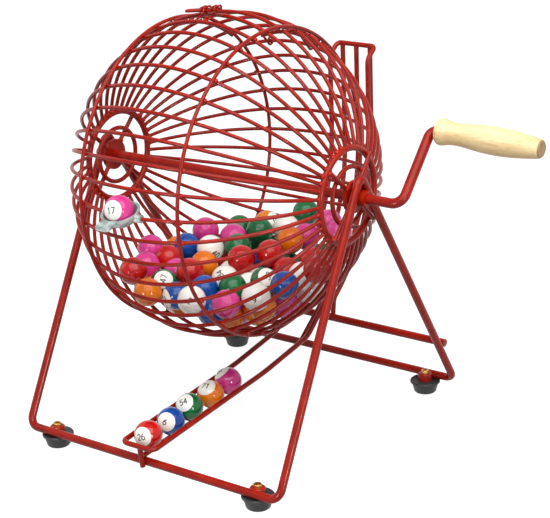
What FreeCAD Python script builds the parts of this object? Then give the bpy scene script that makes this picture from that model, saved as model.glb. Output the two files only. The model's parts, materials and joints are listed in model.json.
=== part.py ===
import FreeCAD, Part
import math
import os

from FreeCAD import Base

os.makedirs("parts", exist_ok=True)

V = Base.Vector
AXLE = V(1, 0, 0)

doc = FreeCAD.newDocument("BingoCage")

# ---------------------------------------------------------------------------
# Driving sizes, in millimetres and degrees.  X runs along the axle towards the
# crank, Y towards the ball chute at the back, Z up.  Lengths are counted from
# the middle of the axle unless the name says otherwise.
# ---------------------------------------------------------------------------
sheet = doc.addObject("Spreadsheet::Sheet", "Sizes")

SIZES = [
    # the 90 balls
    ("BallDia", 22.2, "seven-eighths inch ball"),
    ("PileCount", 84, "balls left in the cage"),
    # the wire cage
    ("CageCrown", 126.0, "meridian centreline at mid length"),
    ("BellyBend", 109.8, "bend radius of a meridian about mid length"),
    ("ShoulderBend", 125.6, "bend radius of a meridian towards the ends"),
    ("ShoulderStation", 65.3, "where the two bends meet"),
    ("WireDia", 2.9, "meridian wire"),
    ("WireEnd", 111.27, "where a meridian stops at the end ring"),
    ("WirePitch", 8.715, "angle between meridians"),
    ("WireFirst", 80.2, "meridian in front of the door, angle up from the front"),
    ("WireTurns", 34, "meridians counted from there down round to the back"),
    ("BandStation", 46.0, "latitude ring, distance from mid length"),
    ("BandDia", 2.9, "latitude ring wire"),
    ("EndRingRadius", 36.1, "large ring at each end"),
    ("EndRingStation", 112.2, "plane of the large end ring"),
    ("EndRingDia", 5.0, "large end ring wire"),
    ("SmallRingRadius", 22.2, "small ring of the spider"),
    ("SmallRingStation", 113.5, "plane of the small ring"),
    ("SmallRingDia", 3.6, "small ring wire"),
    ("SpokeDia", 3.5, "spider spoke, laid over both rings"),
    ("SpokeFirst", 42.0, "first of the four spokes, angle up from the front"),
    ("HubRadius", 12.6, "hub collar"),
    ("HubInner", 116.0, "inner face of the hub collar"),
    ("HubOuter", 119.0, "outer face of the hub collar"),
    # filling door on the top
    ("DoorFront", 89.0, "front bar of the door, angle up from the front"),
    ("DoorPitch", 9.0, "angle between the door wires"),
    ("DoorHalf", 41.5, "half length of the door along the axle"),
    ("HingeWire", 136.1, "meridian that carries the door loops"),
    ("HingeLoopStation", 20.0, "door loop, distance from mid length"),
    ("DoorBarDia", 3.2, "outer bars of the door"),
    ("LatchAngle", 86.0, "hairpin that locks the door, angle up from the front"),
    ("LatchRise", 5.6, "middle of the hairpin above the crown of the cage"),
    ("LatchTilt", 7.1, "rise of the hairpin along the axle"),
    ("LatchTip", -25.0, "closed end of the hairpin, place along the axle"),
    ("LatchEnd", 6.8, "open ends of the hairpin"),
    ("LatchDia", 2.2, "hairpin wire"),
    ("HookDia", 1.6, "hooks round the hairpin"),
    # axle, crank and grip
    ("AxleDia", 7.7, "axle and crank, one bent rod"),
    ("AxleFarEnd", 133.5, "far end of the axle"),
    ("CrankPlane", 159.0, "plane of the crank arm"),
    ("CrankBack", 42.5, "grip axis behind the axle"),
    ("CrankUp", 46.3, "grip axis above the axle, at the crank arm"),
    ("GripDroop", 1.5, "angle by which the grip axis falls outwards"),
    ("GripStart", 165.6, "inner end of the grip"),
    ("GripLength", 84.4, "turned wooden grip"),
    ("GripPlay", 0.08, "radial play of the grip on the rod"),
    # bent-rod stand
    ("RodDia", 6.5, "stand rod"),
    ("LegPlane", 123.7, "plane of each pair of legs"),
    ("FrontSkew", 2.2, "front corners and feet stand this much towards the crank"),
    ("ApexUp", 18.2, "where the straight legs would meet"),
    ("ApexBack", -0.6, "the same, along Y"),
    ("BaseFront", 119.0, "front base rod in front of the axle"),
    ("BaseBack", 136.3, "back base rod behind the axle"),
    ("BaseDrop", 197.6, "base rods below the axle"),
    ("CornerBend", 9.0, "bend radius at the base corners"),
    ("ApexBend", 4.8, "bend radius at the apex"),
    ("ButtStation", 96.0, "butt weld between side frame and base rod"),
    ("SleeveRadius", 6.15, "bearing sleeve, outside"),
    ("SleevePlay", 0.05, "radial play of the axle in its sleeve"),
    ("SleeveInner", 119.4, "inner end of the bearing sleeve"),
    ("SleeveOuter", 130.4, "outer end of the bearing sleeve"),
    # feet
    ("FootStation", 99.8, "foot, distance from mid length"),
    ("FootInset", 6.9, "foot centre inside the base rod"),
    ("FootTopDia", 25.2, "rubber foot at the top"),
    ("FootToeDia", 18.6, "rubber foot at the floor"),
    ("FootHeight", 10.4, "rubber foot"),
    ("LugDia", 12.0, "lug welded to the base rod"),
    ("LugHeight", 6.0, "lug"),
    ("ScrewHeadDia", 6.6, "brass cheese-head screw"),
    # chute and runway
    ("RailDia", 4.2, "side rails"),
    ("GuideDia", 4.2, "floor wire and back wires"),
    ("RailHalf", 15.3, "side rail off the middle, along the runway"),
    ("HoodHalf", 19.0, "side rail off the middle, in the hood"),
    ("BackWireHalf", 13.8, "outer back wires off the middle"),
    ("HoodTop", 57.5, "where the side uprights bend back"),
    ("RimUp", 66.0, "height of the rim above the axle"),
    ("UprightBack", 173.0, "side uprights behind the axle"),
    ("RimBack", 185.0, "rim behind the axle"),
    ("RailFrontDrop", 182.0, "front of the side rails below the axle"),
    ("RailFrontReach", 126.8, "front bar of the rails in front of the axle"),
    ("CrossBarBack", 118.6, "cross bar between the back legs"),
    ("CrossBarDrop", 158.3, "cross bar below the axle"),
    ("CrossBarHalf", 125.7, "half length of the cross bar"),
    ("RunwayFirst", -112.6, "foremost ball on the runway"),
    ("RunwayPitch", 25.3, "distance between balls on the runway"),
    # ball catcher
    ("CupAngle", 4.14, "middle of the catcher bowl, angle up from the front"),
    ("CupReach", 128.8, "middle of the catcher bowl, distance from the axle"),
    ("CupWireAngle", 0.95, "meridian that ends in the catcher's lugs"),
    ("CupOuter", 15.2, "catcher bowl, outside radius"),
    ("CupWall", 2.0, "catcher wall"),
    ("CupTilt", 16.0, "tilt of the catcher rim, outer side down"),
    ("CupRimDrop", 3.6, "middle of the rim plane below the middle of the bowl"),
    ("TongueWidth", 13.0, "flat tongue that sheds the ball outwards"),
    ("TongueReach", 151.0, "tip of the tongue, distance from the axle"),
    # place of the axle in the row's frame
    ("ShiftX", -58.31, "brings the middle of the bounding box to X = 0"),
    ("ShiftY", -18.56, "brings the middle of the bounding box to Y = 0"),
]

for row, (alias, value, note) in enumerate(SIZES, start=1):
    sheet.set("A%d" % row, alias)
    sheet.set("B%d" % row, str(value))
    sheet.set("C%d" % row, note)
    sheet.setAlias("B%d" % row, alias)
doc.recompute()


def size(alias):
    """Value of one cell of the sheet."""
    return float(getattr(sheet, alias))


BALL_R = size("BallDia") / 2
AXLE_HEIGHT = size("BaseDrop") + size("RodDia") / 2 + size("FootHeight")
HOME = V(size("ShiftX"), size("ShiftY"), AXLE_HEIGHT)

nodes = []


def finish(obj, label):
    """Name a finished sub-part and move it from axle coordinates to the row frame."""
    obj.Label = label
    obj.Placement = Base.Placement(HOME, Base.Rotation()) * obj.Placement
    nodes.append(obj)
    return obj


def keep_shape(label, shape):
    """Sub-part whose shape is worked out in code from the sheet."""
    obj = doc.addObject("Part::Feature", label)
    obj.Shape = shape
    return finish(obj, label)


# ---------------------------------------------------------------------------
# Geometry helpers
# ---------------------------------------------------------------------------
def polar(station, radius, angle):
    """Point at an angle up from the front, at a distance from the axle."""
    a = math.radians(angle)
    return V(station, -radius * math.cos(a), radius * math.sin(a))


def shoulder_centre():
    """Centre of the shoulder bend, as (station, distance from the axle)."""
    lean = math.asin(size("ShoulderStation") / size("BellyBend"))
    extra = size("ShoulderBend") - size("BellyBend")
    return (-extra * math.sin(lean),
            size("CageCrown") - size("BellyBend") - extra * math.cos(lean))


def cage_radius(station):
    """Distance of a meridian's centreline from the axle at one station."""
    station = abs(station)
    if station <= size("ShoulderStation"):
        bend = size("BellyBend")
        return size("CageCrown") - bend + math.sqrt(bend ** 2 - station ** 2)
    along, up = shoulder_centre()
    return up + math.sqrt(size("ShoulderBend") ** 2 - (station - along) ** 2)


def bent_path(points, bends):
    """Straight runs through the points, joined by tangent arcs of the given radii.

    bends holds one radius for each inner point.  An equal first and last point
    closes the path, and the closing corner stays sharp.
    """
    edges = []
    start = points[0]
    for i in range(1, len(points) - 1):
        corner = points[i]
        back = (points[i - 1] - corner).normalize()
        ahead = (points[i + 1] - corner).normalize()
        half = back.getAngle(ahead) / 2
        setback = bends[i - 1] / math.tan(half)
        enter = corner + back * setback
        leave = corner + ahead * setback
        to_centre = bends[i - 1] / math.sin(half)
        inward = (back + ahead).normalize()
        middle = corner + inward * (to_centre - bends[i - 1])
        if enter.distanceToPoint(start) > 1e-6:
            edges.append(Part.makeLine(start, enter))
        edges.append(Part.Arc(enter, middle, leave).toShape())
        start = leave
    edges.append(Part.makeLine(start, points[-1]))
    return Part.Wire(edges)


def meridian_path(half_length, angle):
    """Centreline of one cage wire: a belly bend, and a shoulder bend at each end."""
    shoulder = size("ShoulderStation")
    if half_length <= shoulder:
        stops = [-half_length, 0, half_length]
    else:
        along = (shoulder + half_length) / 2
        stops = [-half_length, -along, -shoulder, 0, shoulder, along, half_length]
    at = [polar(stop, cage_radius(stop), angle) for stop in stops]
    arcs = [Part.Arc(*at[i:i + 3]).toShape() for i in range(0, len(at) - 2, 2)]
    return Part.Wire(arcs)


def round_section(name, edge, alias):
    """Circle across the start of an edge, its radius bound to the sheet."""
    first = edge.FirstParameter
    circle = doc.addObject("Part::Circle", name)
    circle.setExpression("Radius", "Sizes.%s / 2" % alias)
    turn = Base.Rotation(V(0, 0, 1), edge.tangentAt(first))
    circle.Placement = Base.Placement(edge.valueAt(first), turn)
    return circle


def swept_rod(name, path, alias):
    """Round rod bent along a path: a Part::Sweep of one circle."""
    spine = doc.addObject("Part::Feature", name + "_spine")
    spine.Shape = path
    section = round_section(name + "_section", path.OrderedEdges[0], alias)
    sweep = doc.addObject("Part::Sweep", name)
    sweep.Sections = [section]
    sweep.Spine = (spine, ["Edge%d" % (i + 1) for i in range(len(path.Edges))])
    sweep.Solid = True
    sweep.Frenet = False
    doc.recompute()
    return sweep


def torus(name, ring_radius, wire_alias, station):
    """Closed wire ring round the axle."""
    ring = doc.addObject("Part::Torus", name)
    ring.setExpression("Radius1", ring_radius)
    ring.setExpression("Radius2", "Sizes.%s / 2" % wire_alias)
    ring.Placement = Base.Placement(V(station, 0, 0), Base.Rotation(V(0, 1, 0), 90))
    return ring


def cylinder(name, radius, start, direction, length):
    """Part cylinder from a point along a direction; sizes may be expressions."""
    rod = doc.addObject("Part::Cylinder", name)
    for prop, amount in (("Radius", radius), ("Height", length)):
        if isinstance(amount, str):
            rod.setExpression(prop, amount)
        else:
            setattr(rod, prop, amount)
    rod.Placement = Base.Placement(start, Base.Rotation(V(0, 0, 1), direction))
    return rod


def cut(name, base, tool):
    """Boolean cut of two document objects."""
    result = doc.addObject("Part::Cut", name)
    result.Base = base
    result.Tool = tool
    return result


def pipe(path, radius):
    """Round wire along a path."""
    first = path.OrderedEdges[0]
    start = first.FirstParameter
    ring = Part.makeCircle(radius, first.valueAt(start), first.tangentAt(start))
    return path.makePipeShell([Part.Wire([ring])], True, False)


def bar_along_axle(radius, y, z):
    """Plain bar parallel to the axle, used to notch the wires welded to a bar."""
    return Part.makeCylinder(radius, 300.0, V(-150.0, y, z), AXLE)


def turned(name, profile):
    """PartDesign body: a closed (along, radius) profile revolved about local X."""
    body = doc.addObject("PartDesign::Body", name)
    sketch = body.newObject("Sketcher::SketchObject", name + "_profile")
    plane = [f for f in body.Origin.OriginFeatures if f.Role == "XY_Plane"][0]
    sketch.AttachmentSupport = (plane, [""])
    sketch.MapMode = "FlatFace"
    for i, (along, radius) in enumerate(profile):
        nxt = profile[(i + 1) % len(profile)]
        sketch.addGeometry(Part.LineSegment(V(along, radius, 0), V(nxt[0], nxt[1], 0)))
    turn = body.newObject("PartDesign::Revolution", name + "_turned")
    turn.Profile = sketch
    turn.ReferenceAxis = (sketch, ["H_Axis"])
    turn.Angle = 360
    body.Tip = turn
    doc.recompute()
    return body


# ---------------------------------------------------------------------------
# Stand: two bent side frames butt-welded to two base rods
# ---------------------------------------------------------------------------
base_z = -size("BaseDrop")


def side_frame(label, side):
    """Pair of legs bent from one rod, with a short return at each base corner."""
    x = side * size("LegPlane")
    butt = side * size("ButtStation")
    points = [
        V(butt, -size("BaseFront"), base_z),
        V(x + size("FrontSkew"), -size("BaseFront"), base_z),
        V(x, size("ApexBack"), size("ApexUp")),
        V(x, size("BaseBack"), base_z),
        V(butt, size("BaseBack"), base_z),
    ]
    bends = [size("CornerBend"), size("ApexBend"), size("CornerBend")]
    return finish(swept_rod(label, bent_path(points, bends), "RodDia"), label)


side_frames = [side_frame("side_frame_crank_end", 1), side_frame("side_frame_far_end", -1)]
base_rods = []

for label, y in (("base_rod_front", -size("BaseFront")), ("base_rod_back", size("BaseBack"))):
    rod = cylinder(label, "Sizes.RodDia / 2", V(-size("ButtStation"), y, base_z), AXLE,
                   "2 * Sizes.ButtStation")
    base_rods.append(finish(rod, label))

cross_bar = cylinder("cross_bar_back", "Sizes.RodDia / 2",
                     V(-size("CrossBarHalf"), size("CrossBarBack"), -size("CrossBarDrop")),
                     AXLE, "2 * Sizes.CrossBarHalf")
finish(cross_bar, "cross_bar_back")

# bearing sleeves in the crotch of each pair of legs
for label, side in (("bearing_sleeve_crank_end", 1), ("bearing_sleeve_far_end", -1)):
    start = V(side * size("SleeveInner"), 0, 0)
    length = "Sizes.SleeveOuter - Sizes.SleeveInner"
    outer = cylinder(label + "_outer", "Sizes.SleeveRadius", start, AXLE * side, length)
    bore = cylinder(label + "_bore", "Sizes.AxleDia / 2 + Sizes.SleevePlay", start,
                    AXLE * side, length)
    finish(cut(label, outer, bore), label)

# ---------------------------------------------------------------------------
# Feet: welded lug, brass screw, rubber foot with a recess, washer and nut
# ---------------------------------------------------------------------------
foot_top = base_z - size("RodDia") / 2
foot_toe = foot_top - size("FootHeight")
foot_places = []
for x in (-size("FootStation"), size("FootStation")):
    foot_places.append(V(x + size("FrontSkew"), -size("BaseFront") + size("FootInset"),
                         foot_top))
    foot_places.append(V(x, size("BaseBack") - size("FootInset"), foot_top))

RECESS_R = 5.6
RECESS_DEPTH = 5.4
SHANK_R = 2.0
HOLE_R = 2.15
NUT_ACROSS = 7.0
NUT_THICK = 2.4
WASHER_R = 4.6
WASHER_THICK = 0.8
HEAD_HEIGHT = 2.6

top_r = size("FootTopDia") / 2
toe_r = size("FootToeDia") / 2
tall = size("FootHeight")
lip = 1.4
# profile along the foot's axis, from the floor face up
foot = turned("foot_master", [
    (0.0, RECESS_R), (0.0, toe_r - 0.8), (0.8, toe_r), (tall - 2.6, top_r - lip),
    (tall - 1.8, top_r), (tall - 0.6, top_r), (tall, top_r - 0.6), (tall, HOLE_R),
    (RECESS_DEPTH, HOLE_R), (RECESS_DEPTH, RECESS_R),
])


def at_feet(shape):
    """The same small piece at each of the four feet, its local X turned upright."""
    copies = []
    for place in foot_places:
        copy = shape.copy()
        copy.rotate(V(0, 0, 0), V(0, 1, 0), -90)
        copy.translate(V(place.x, place.y, foot_toe))
        copies.append(copy)
    return Part.makeCompound(copies)


keep_shape("rubber_feet", at_feet(foot.Shape))

lug = Part.makeCylinder(size("LugDia") / 2, size("LugHeight"), V(tall, 0, 0), AXLE)
lug = lug.makeChamfer(0.7, [e for e in lug.Edges if e.BoundBox.XMin > tall + 1])
lug_bore = Part.makeCylinder(HOLE_R, size("LugHeight"), V(tall, 0, 0), AXLE)
# each lug is notched where the rod runs past it
doc.recompute()
lugs = at_feet(lug.cut(lug_bore))
for rod in side_frames + base_rods:
    notch = rod.Shape.copy()
    notch.translate(HOME * -1)
    lugs = Part.makeCompound([one.cut(notch) for one in lugs.Solids])
keep_shape("foot_lugs", lugs)

head_seat = tall + size("LugHeight")
head = Part.makeCylinder(size("ScrewHeadDia") / 2, HEAD_HEIGHT, V(head_seat, 0, 0), AXLE)
head = head.makeFillet(0.6, [e for e in head.Edges if e.BoundBox.XMin > head_seat + 1])
hexagon = Part.makePolygon([V(head_seat + 1.0, 1.7 * math.cos(math.radians(60 * i)),
                              1.7 * math.sin(math.radians(60 * i))) for i in range(7)])
socket = Part.Face(hexagon).extrude(AXLE * HEAD_HEIGHT)
shank = Part.makeCylinder(SHANK_R, head_seat - 1.2, V(1.2, 0, 0), AXLE)
keep_shape("foot_screws", at_feet(head.cut(socket).fuse(shank)))

nut_top = RECESS_DEPTH - WASHER_THICK
nut_wire = Part.makePolygon([V(nut_top - NUT_THICK,
                               NUT_ACROSS / math.sqrt(3) * math.cos(math.radians(60 * i)),
                               NUT_ACROSS / math.sqrt(3) * math.sin(math.radians(60 * i)))
                             for i in range(7)])
nut = Part.Face(nut_wire).extrude(AXLE * NUT_THICK)
nut = nut.cut(Part.makeCylinder(SHANK_R, NUT_THICK, V(nut_top - NUT_THICK, 0, 0), AXLE))
keep_shape("foot_nuts", at_feet(nut))

washer = Part.makeCylinder(WASHER_R, WASHER_THICK, V(nut_top, 0, 0), AXLE)
washer = washer.cut(Part.makeCylinder(SHANK_R, WASHER_THICK, V(nut_top, 0, 0), AXLE))
keep_shape("foot_washers", at_feet(washer))

# ---------------------------------------------------------------------------
# Chute: side rails, hood rim, floor wire, two outer back wires, front post
# ---------------------------------------------------------------------------
RAMP_KNEE = (18.0, -170.9)       # (Y, Z) where the ramp steepens a little
RAMP_FOOT = (79.0, -161.4)       # where it turns up behind the cage
RAMP_BEND = 220.0
TURN_BEND = 20.0
FLOOR_KNEE = (28.0, -183.0)
FLOOR_FOOT = (88.0, -174.7)
FLOOR_BEND = 260.0
FLOOR_SWEEP = 172.0              # bend radius of the wires that rise behind the cage
BACK_KNEE = (121.5, -142.0)
BACK_SWEEP = 148.0


def tangent_corner(point, bow):
    """Height of the corner where a line that grazes a circle of radius bow round
    the axle, drawn from (Y, Z), meets the upright at Y = bow."""
    y, z = point
    graze = math.atan2(-z, y) - math.acos(bow / math.hypot(y, z))
    return -bow * math.tan(graze / 2)


def rail_corners(side):
    """Corners of one side rail, from its front bar up to the hood rim."""
    bow = size("UprightBack")
    narrow = side * size("RailHalf")
    wide = side * size("HoodHalf")
    return [
        V(narrow, -size("RailFrontReach"), -size("RailFrontDrop")),
        V(narrow, *RAMP_KNEE),
        V(narrow, *RAMP_FOOT),
        V(wide, bow, tangent_corner(RAMP_FOOT, bow)),
        V(wide, bow, size("HoodTop")),
        V(wide, (bow + size("RimBack")) / 2, (size("HoodTop") + size("RimUp")) / 2),
    ]


# the bend behind the cage stays a little under the grazing circle's own radius,
# so that the upright is straight above the axle
HOOD_BEND = 9.0
rail_bends = [RAMP_BEND, TURN_BEND, 0.97 * size("UprightBack"), HOOD_BEND]
FRONT_BEND = 5.0
rail_path = bent_path(rail_corners(-1)[::-1] + rail_corners(1),
                      rail_bends[::-1] + [FRONT_BEND, FRONT_BEND] + rail_bends)
finish(swept_rod("runway_side_rails", rail_path, "RailDia"), "runway_side_rails")

# the rim carries on in line with the bent tops of the uprights
rim_points = [
    rail_corners(-1)[-1],
    V(-size("HoodHalf"), size("RimBack"), size("RimUp")),
    V(size("HoodHalf"), size("RimBack"), size("RimUp")),
    rail_corners(1)[-1],
]
finish(swept_rod("hood_rim", bent_path(rim_points, [4.0, 4.0]), "RailDia"), "hood_rim")

# the floor wire lies under the rails, grazes the cross bar and climbs behind the cage
floor_front = (-size("BaseFront") - 3.0,
               base_z + (size("RodDia") + size("GuideDia")) / 2 - 0.2)
bar_y = size("CrossBarBack") - FLOOR_FOOT[0]
bar_z = -size("CrossBarDrop") - FLOOR_FOOT[1]
bar_gap = (size("RodDia") + size("GuideDia")) / 2 - 0.2
climb = math.atan2(bar_z, bar_y) + math.asin(bar_gap / math.hypot(bar_y, bar_z))
floor_top = FLOOR_FOOT[1] + (size("RimBack") - FLOOR_FOOT[0]) * math.tan(climb)
floor_points = [V(0, *floor_front), V(0, *FLOOR_KNEE), V(0, *FLOOR_FOOT),
                V(0, size("RimBack"), floor_top), V(0, size("RimBack"), size("RimUp"))]
floor_path = bent_path(floor_points, [FLOOR_BEND, TURN_BEND, FLOOR_SWEEP])
guide_r = size("GuideDia") / 2
rim_bar = bar_along_axle(size("RailDia") / 2, size("RimBack"), size("RimUp"))
keep_shape("runway_floor_wire", pipe(floor_path, guide_r).cut(rim_bar))

# the outer back wires rise from the cross bar, beside the floor wire, to the rim
back_bar = bar_along_axle(size("RodDia") / 2, size("CrossBarBack"), -size("CrossBarDrop"))
back_rise = math.tan(math.radians(37.0))
for label, side in (("back_wire_crank_side", 1), ("back_wire_far_side", -1)):
    x = side * size("BackWireHalf")
    corner = BACK_KNEE[1] + (size("RimBack") - BACK_KNEE[0]) * back_rise
    points = [V(x, size("CrossBarBack") + 1.0, -size("CrossBarDrop") + 1.5),
              V(x, *BACK_KNEE), V(x, size("RimBack"), corner),
              V(x, size("RimBack"), size("RimUp"))]
    path = bent_path(points, [8.0, BACK_SWEEP])
    keep_shape(label, pipe(path, guide_r).cut(back_bar).cut(rim_bar))

front = V(0, -size("RailFrontReach"), -size("RailFrontDrop"))
post_top = front + V(1.4, 0.6, 0)
post_foot = V(1.4, -size("BaseFront") - size("RodDia") / 2 - 1.6, base_z - 2.4)
post_way = post_top - post_foot
post = Part.makeCylinder(size("RailDia") / 2, post_way.Length, post_foot, post_way)
post = post.cut(bar_along_axle(size("RailDia") / 2, front.y, front.z))
keep_shape("runway_front_post",
           post.cut(bar_along_axle(size("RodDia") / 2, -size("BaseFront"), base_z)))

# ---------------------------------------------------------------------------
# Cage: meridian wires, two latitude rings and a spider at each end
# ---------------------------------------------------------------------------
meridian = swept_rod("meridian_master", meridian_path(size("WireEnd"), 0), "WireDia")


def turned_copies(shape, angles):
    """Copies of one wire turned about the axle, angles counted up from the front."""
    copies = []
    for angle in angles:
        copy = shape.copy()
        copy.rotate(V(0, 0, 0), AXLE, -angle)
        copies.append(copy)
    return Part.makeCompound(copies)


cup_wire_slot = 9                 # this meridian is cut for the ball catcher
full_angles = [size("WireFirst") - i * size("WirePitch") for i in range(int(size("WireTurns")))]
full_angles.pop(cup_wire_slot)
sectors = {
    "cage_wires_front": full_angles[:9],
    "cage_wires_lower_front": full_angles[9:17],
    "cage_wires_lower_back": full_angles[17:25],
    "cage_wires_back": full_angles[25:],
}
for label, angles in sectors.items():
    keep_shape(label, turned_copies(meridian.Shape, angles))

# meridians between the last full one and the door opening
keep_shape("cage_wires_hinge", turned_copies(meridian.Shape,
                                            [size("HingeWire"), size("HingeWire") + 8.7]))


def half_wires(label, angles, inner_station):
    """Wires that stop short of the middle, at both ends of the cage."""
    keep_out = Part.makeBox(2 * inner_station, 400, 400,
                            V(-inner_station, -200, -200))
    short = meridian.Shape.cut(keep_out)
    return keep_shape(label, turned_copies(short, angles))


door_angles = [size("DoorFront") + i * size("DoorPitch") for i in range(5)]
half_wires("cage_wires_beside_door", door_angles, size("BandStation"))

# the cut meridian ends inside the two bosses of the ball catcher
STUB_START = 13.6
stubs = half_wires("cage_wire_at_catcher", [size("CupWireAngle")], STUB_START)

# the latitude rings lie on the meridians and sink a tenth into them
band_radius = ("Sizes.CageCrown - Sizes.BellyBend + sqrt((Sizes.BellyBend"
               " + (Sizes.WireDia + Sizes.BandDia) / 2 - 0.1)^2 - Sizes.BandStation^2)")
for label, side in (("band_ring_crank_end", 1), ("band_ring_far_end", -1)):
    finish(torus(label, band_radius, "BandDia", side * size("BandStation")), label)

for end, side in (("crank_end", 1), ("far_end", -1)):
    finish(torus("end_ring_" + end, "Sizes.EndRingRadius", "EndRingDia",
                 side * size("EndRingStation")), "end_ring_" + end)
    finish(torus("spider_ring_" + end, "Sizes.SmallRingRadius", "SmallRingDia",
                 side * size("SmallRingStation")), "spider_ring_" + end)
    # the spokes lie over both rings and butt against the rim of the hub
    stand_off = (size("EndRingDia") + size("SpokeDia")) / 2 - 0.1
    inner_off = (size("SmallRingDia") + size("SpokeDia")) / 2 - 0.1
    at_ring = size("EndRingStation") + stand_off
    at_small = size("SmallRingStation") + inner_off
    lean = (at_small - at_ring) / (size("EndRingRadius") - size("SmallRingRadius"))
    at_hub = at_small + lean * (size("SmallRingRadius") - size("HubRadius") + 3.0)
    spokes = []
    for i in range(4):
        angle = size("SpokeFirst") + 90 * i
        inner = polar(side * at_hub, size("HubRadius") - 3.0, angle)
        outer = polar(side * (at_ring - 1.5 * lean), size("EndRingRadius") + 1.5, angle)
        way = outer - inner
        spoke = Part.makeCylinder(size("SpokeDia") / 2, way.Length, inner, way)
        spokes.append(spoke.cut(bar_along_axle(size("HubRadius"), 0, 0)))
    keep_shape("spider_spokes_" + end, Part.makeCompound(spokes))
    start = V(side * size("HubInner"), 0, 0)
    length = "Sizes.HubOuter - Sizes.HubInner"
    disc = cylinder("hub_disc_" + end, "Sizes.HubRadius", start, AXLE * side, length)
    bore = cylinder("hub_bore_" + end, "Sizes.AxleDia / 2", start, AXLE * side, length)
    finish(cut("hub_collar_" + end, disc, bore), "hub_collar_" + end)

# ---------------------------------------------------------------------------
# Axle and crank, one bent rod, and the grip that spins on its end
# ---------------------------------------------------------------------------
arm_end = V(size("CrankPlane"), size("CrankBack"), size("CrankUp"))
droop = math.radians(size("GripDroop"))
grip_way = V(math.cos(droop), 0, -math.sin(droop))
grip_from = size("GripStart") - size("CrankPlane")
crank_points = [
    V(-size("AxleFarEnd"), 0, 0),
    V(size("CrankPlane"), 0, 0),
    arm_end,
    arm_end + grip_way * (grip_from + size("GripLength") - 9.0),
]
finish(swept_rod("axle_and_crank", bent_path(crank_points, [9.0, 6.0]), "AxleDia"),
       "axle_and_crank")

bore_r = size("AxleDia") / 2 + size("GripPlay")
clip_from = size("GripLength") - 14.0
clip_to = clip_from + 2.4
long = size("GripLength")
grip = turned("grip", [
    (0.0, bore_r), (0.0, 8.9), (1.2, 9.9), (3.0, 10.2), (5.5, 9.85), (9.0, 8.9),
    (13.5, 8.45), (18.0, 8.45), (23.0, 8.8), (28.0, 9.35), (36.0, 10.1), (43.0, 10.45),
    (50.0, 10.5), (57.0, 10.2), (64.0, 9.65), (71.0, 8.9), (77.0, 8.1),
    (long - 2.6, 7.3), (long - 0.8, 6.7), (long, 5.9),
    (long, 0.0), (long - 8.2, 0.0), (long - 8.2, bore_r), (clip_to + 0.4, bore_r),
    (clip_to + 0.4, 6.2), (clip_from - 0.4, 6.2), (clip_from - 0.4, bore_r),
])
grip_place = Base.Placement(arm_end + grip_way * grip_from, Base.Rotation(AXLE, grip_way))
grip.Placement = grip_place
finish(grip, "grip")

clip = turned("grip_retaining_ring", [
    (clip_from, size("AxleDia") / 2), (clip_from, 5.2), (clip_from + 0.4, 5.6),
    (clip_to - 0.4, 5.6), (clip_to, 5.2), (clip_to, size("AxleDia") / 2),
])
clip.Placement = grip_place
finish(clip, "grip_retaining_ring")

# ---------------------------------------------------------------------------
# Filling door with its loops, and the hairpin that locks it: hooks on the door
# and hooks on the cage stand in line, and the hairpin slides through them all
# ---------------------------------------------------------------------------
half_door = size("DoorHalf")
door_back = door_angles[-1]
wire_r = size("WireDia") / 2
bar_r = size("DoorBarDia") / 2
frame_members = [pipe(meridian_path(half_door + bar_r, angle), bar_r)
                 for angle in (door_angles[0], door_back)]
front_bar, rear_bar = frame_members
# the end bars are welded under the wires, square to their slope there
belly = size("BellyBend")
below = belly - wire_r - bar_r + 0.07
under = size("CageCrown") - belly + math.sqrt(below ** 2 - half_door ** 2)
overhang = math.degrees(bar_r / under)
for side in (-1, 1):
    stops = (door_angles[0] - overhang, (door_angles[0] + door_back) / 2, door_back + overhang)
    arc = Part.Arc(*[polar(side * half_door, under, a) for a in stops])
    frame_members.append(pipe(Part.Wire([arc.toShape()]), bar_r))
keep_shape("door_frame", Part.makeCompound(frame_members))

keep_shape("door_wires", Part.makeCompound(
    [pipe(meridian_path(half_door, a), wire_r) for a in door_angles[1:-1]]))

LOOP_EYE = 2.9
LOOP_WIRE_R = 1.0
LOOP_TURN = 280.0
loops = []
for side in (-1, 1):
    station = side * size("HingeLoopStation")
    eye = polar(station, cage_radius(station), size("HingeWire"))
    bar = polar(station, cage_radius(station), door_back)
    # the stem leaves the eye along its tangent and ends on the door's back bar
    toward = (bar - eye).normalize()
    swing = math.degrees(math.acos(LOOP_EYE / bar.distanceToPoint(eye)))
    touch = Base.Rotation(AXLE, swing).multVec(toward)
    stem = (bar - (eye + touch * LOOP_EYE)).normalize()
    turn = [eye + (touch * math.cos(math.radians(a)) + stem * math.sin(math.radians(a)))
            * LOOP_EYE for a in (-LOOP_TURN, -LOOP_TURN / 2, 0)]
    path = Part.Wire([Part.Arc(*turn).toShape(), Part.makeLine(turn[-1], bar)])
    loops.append(pipe(path, LOOP_WIRE_R).cut(rear_bar))
keep_shape("door_hinge_loops", Part.makeCompound(loops))

latch_out = polar(0, 1, size("LatchAngle"))
latch_ahead = polar(0, 1, size("LatchAngle") - 90.0)
latch_slope = math.tan(math.radians(size("LatchTilt")))
pin_r = size("LatchDia") / 2
hook_r = size("HookDia") / 2
PRONG_OFF = 2.0                   # prongs either side of the hairpin's middle line
PRONG_OFF_TIP = 1.5               # the same at the closed end
HOOK_SLACK = 0.4                  # room between the prongs and a hook


def on_latch(along, ahead, out):
    """Point beside the hairpin: along the axle, ahead round the cage, out from it."""
    return latch_out * (size("CageCrown") + out) + AXLE * along + latch_ahead * ahead


def latch_line(along):
    """Height of the hairpin's middle line above the crown."""
    return size("LatchRise") + latch_slope * along


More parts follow.
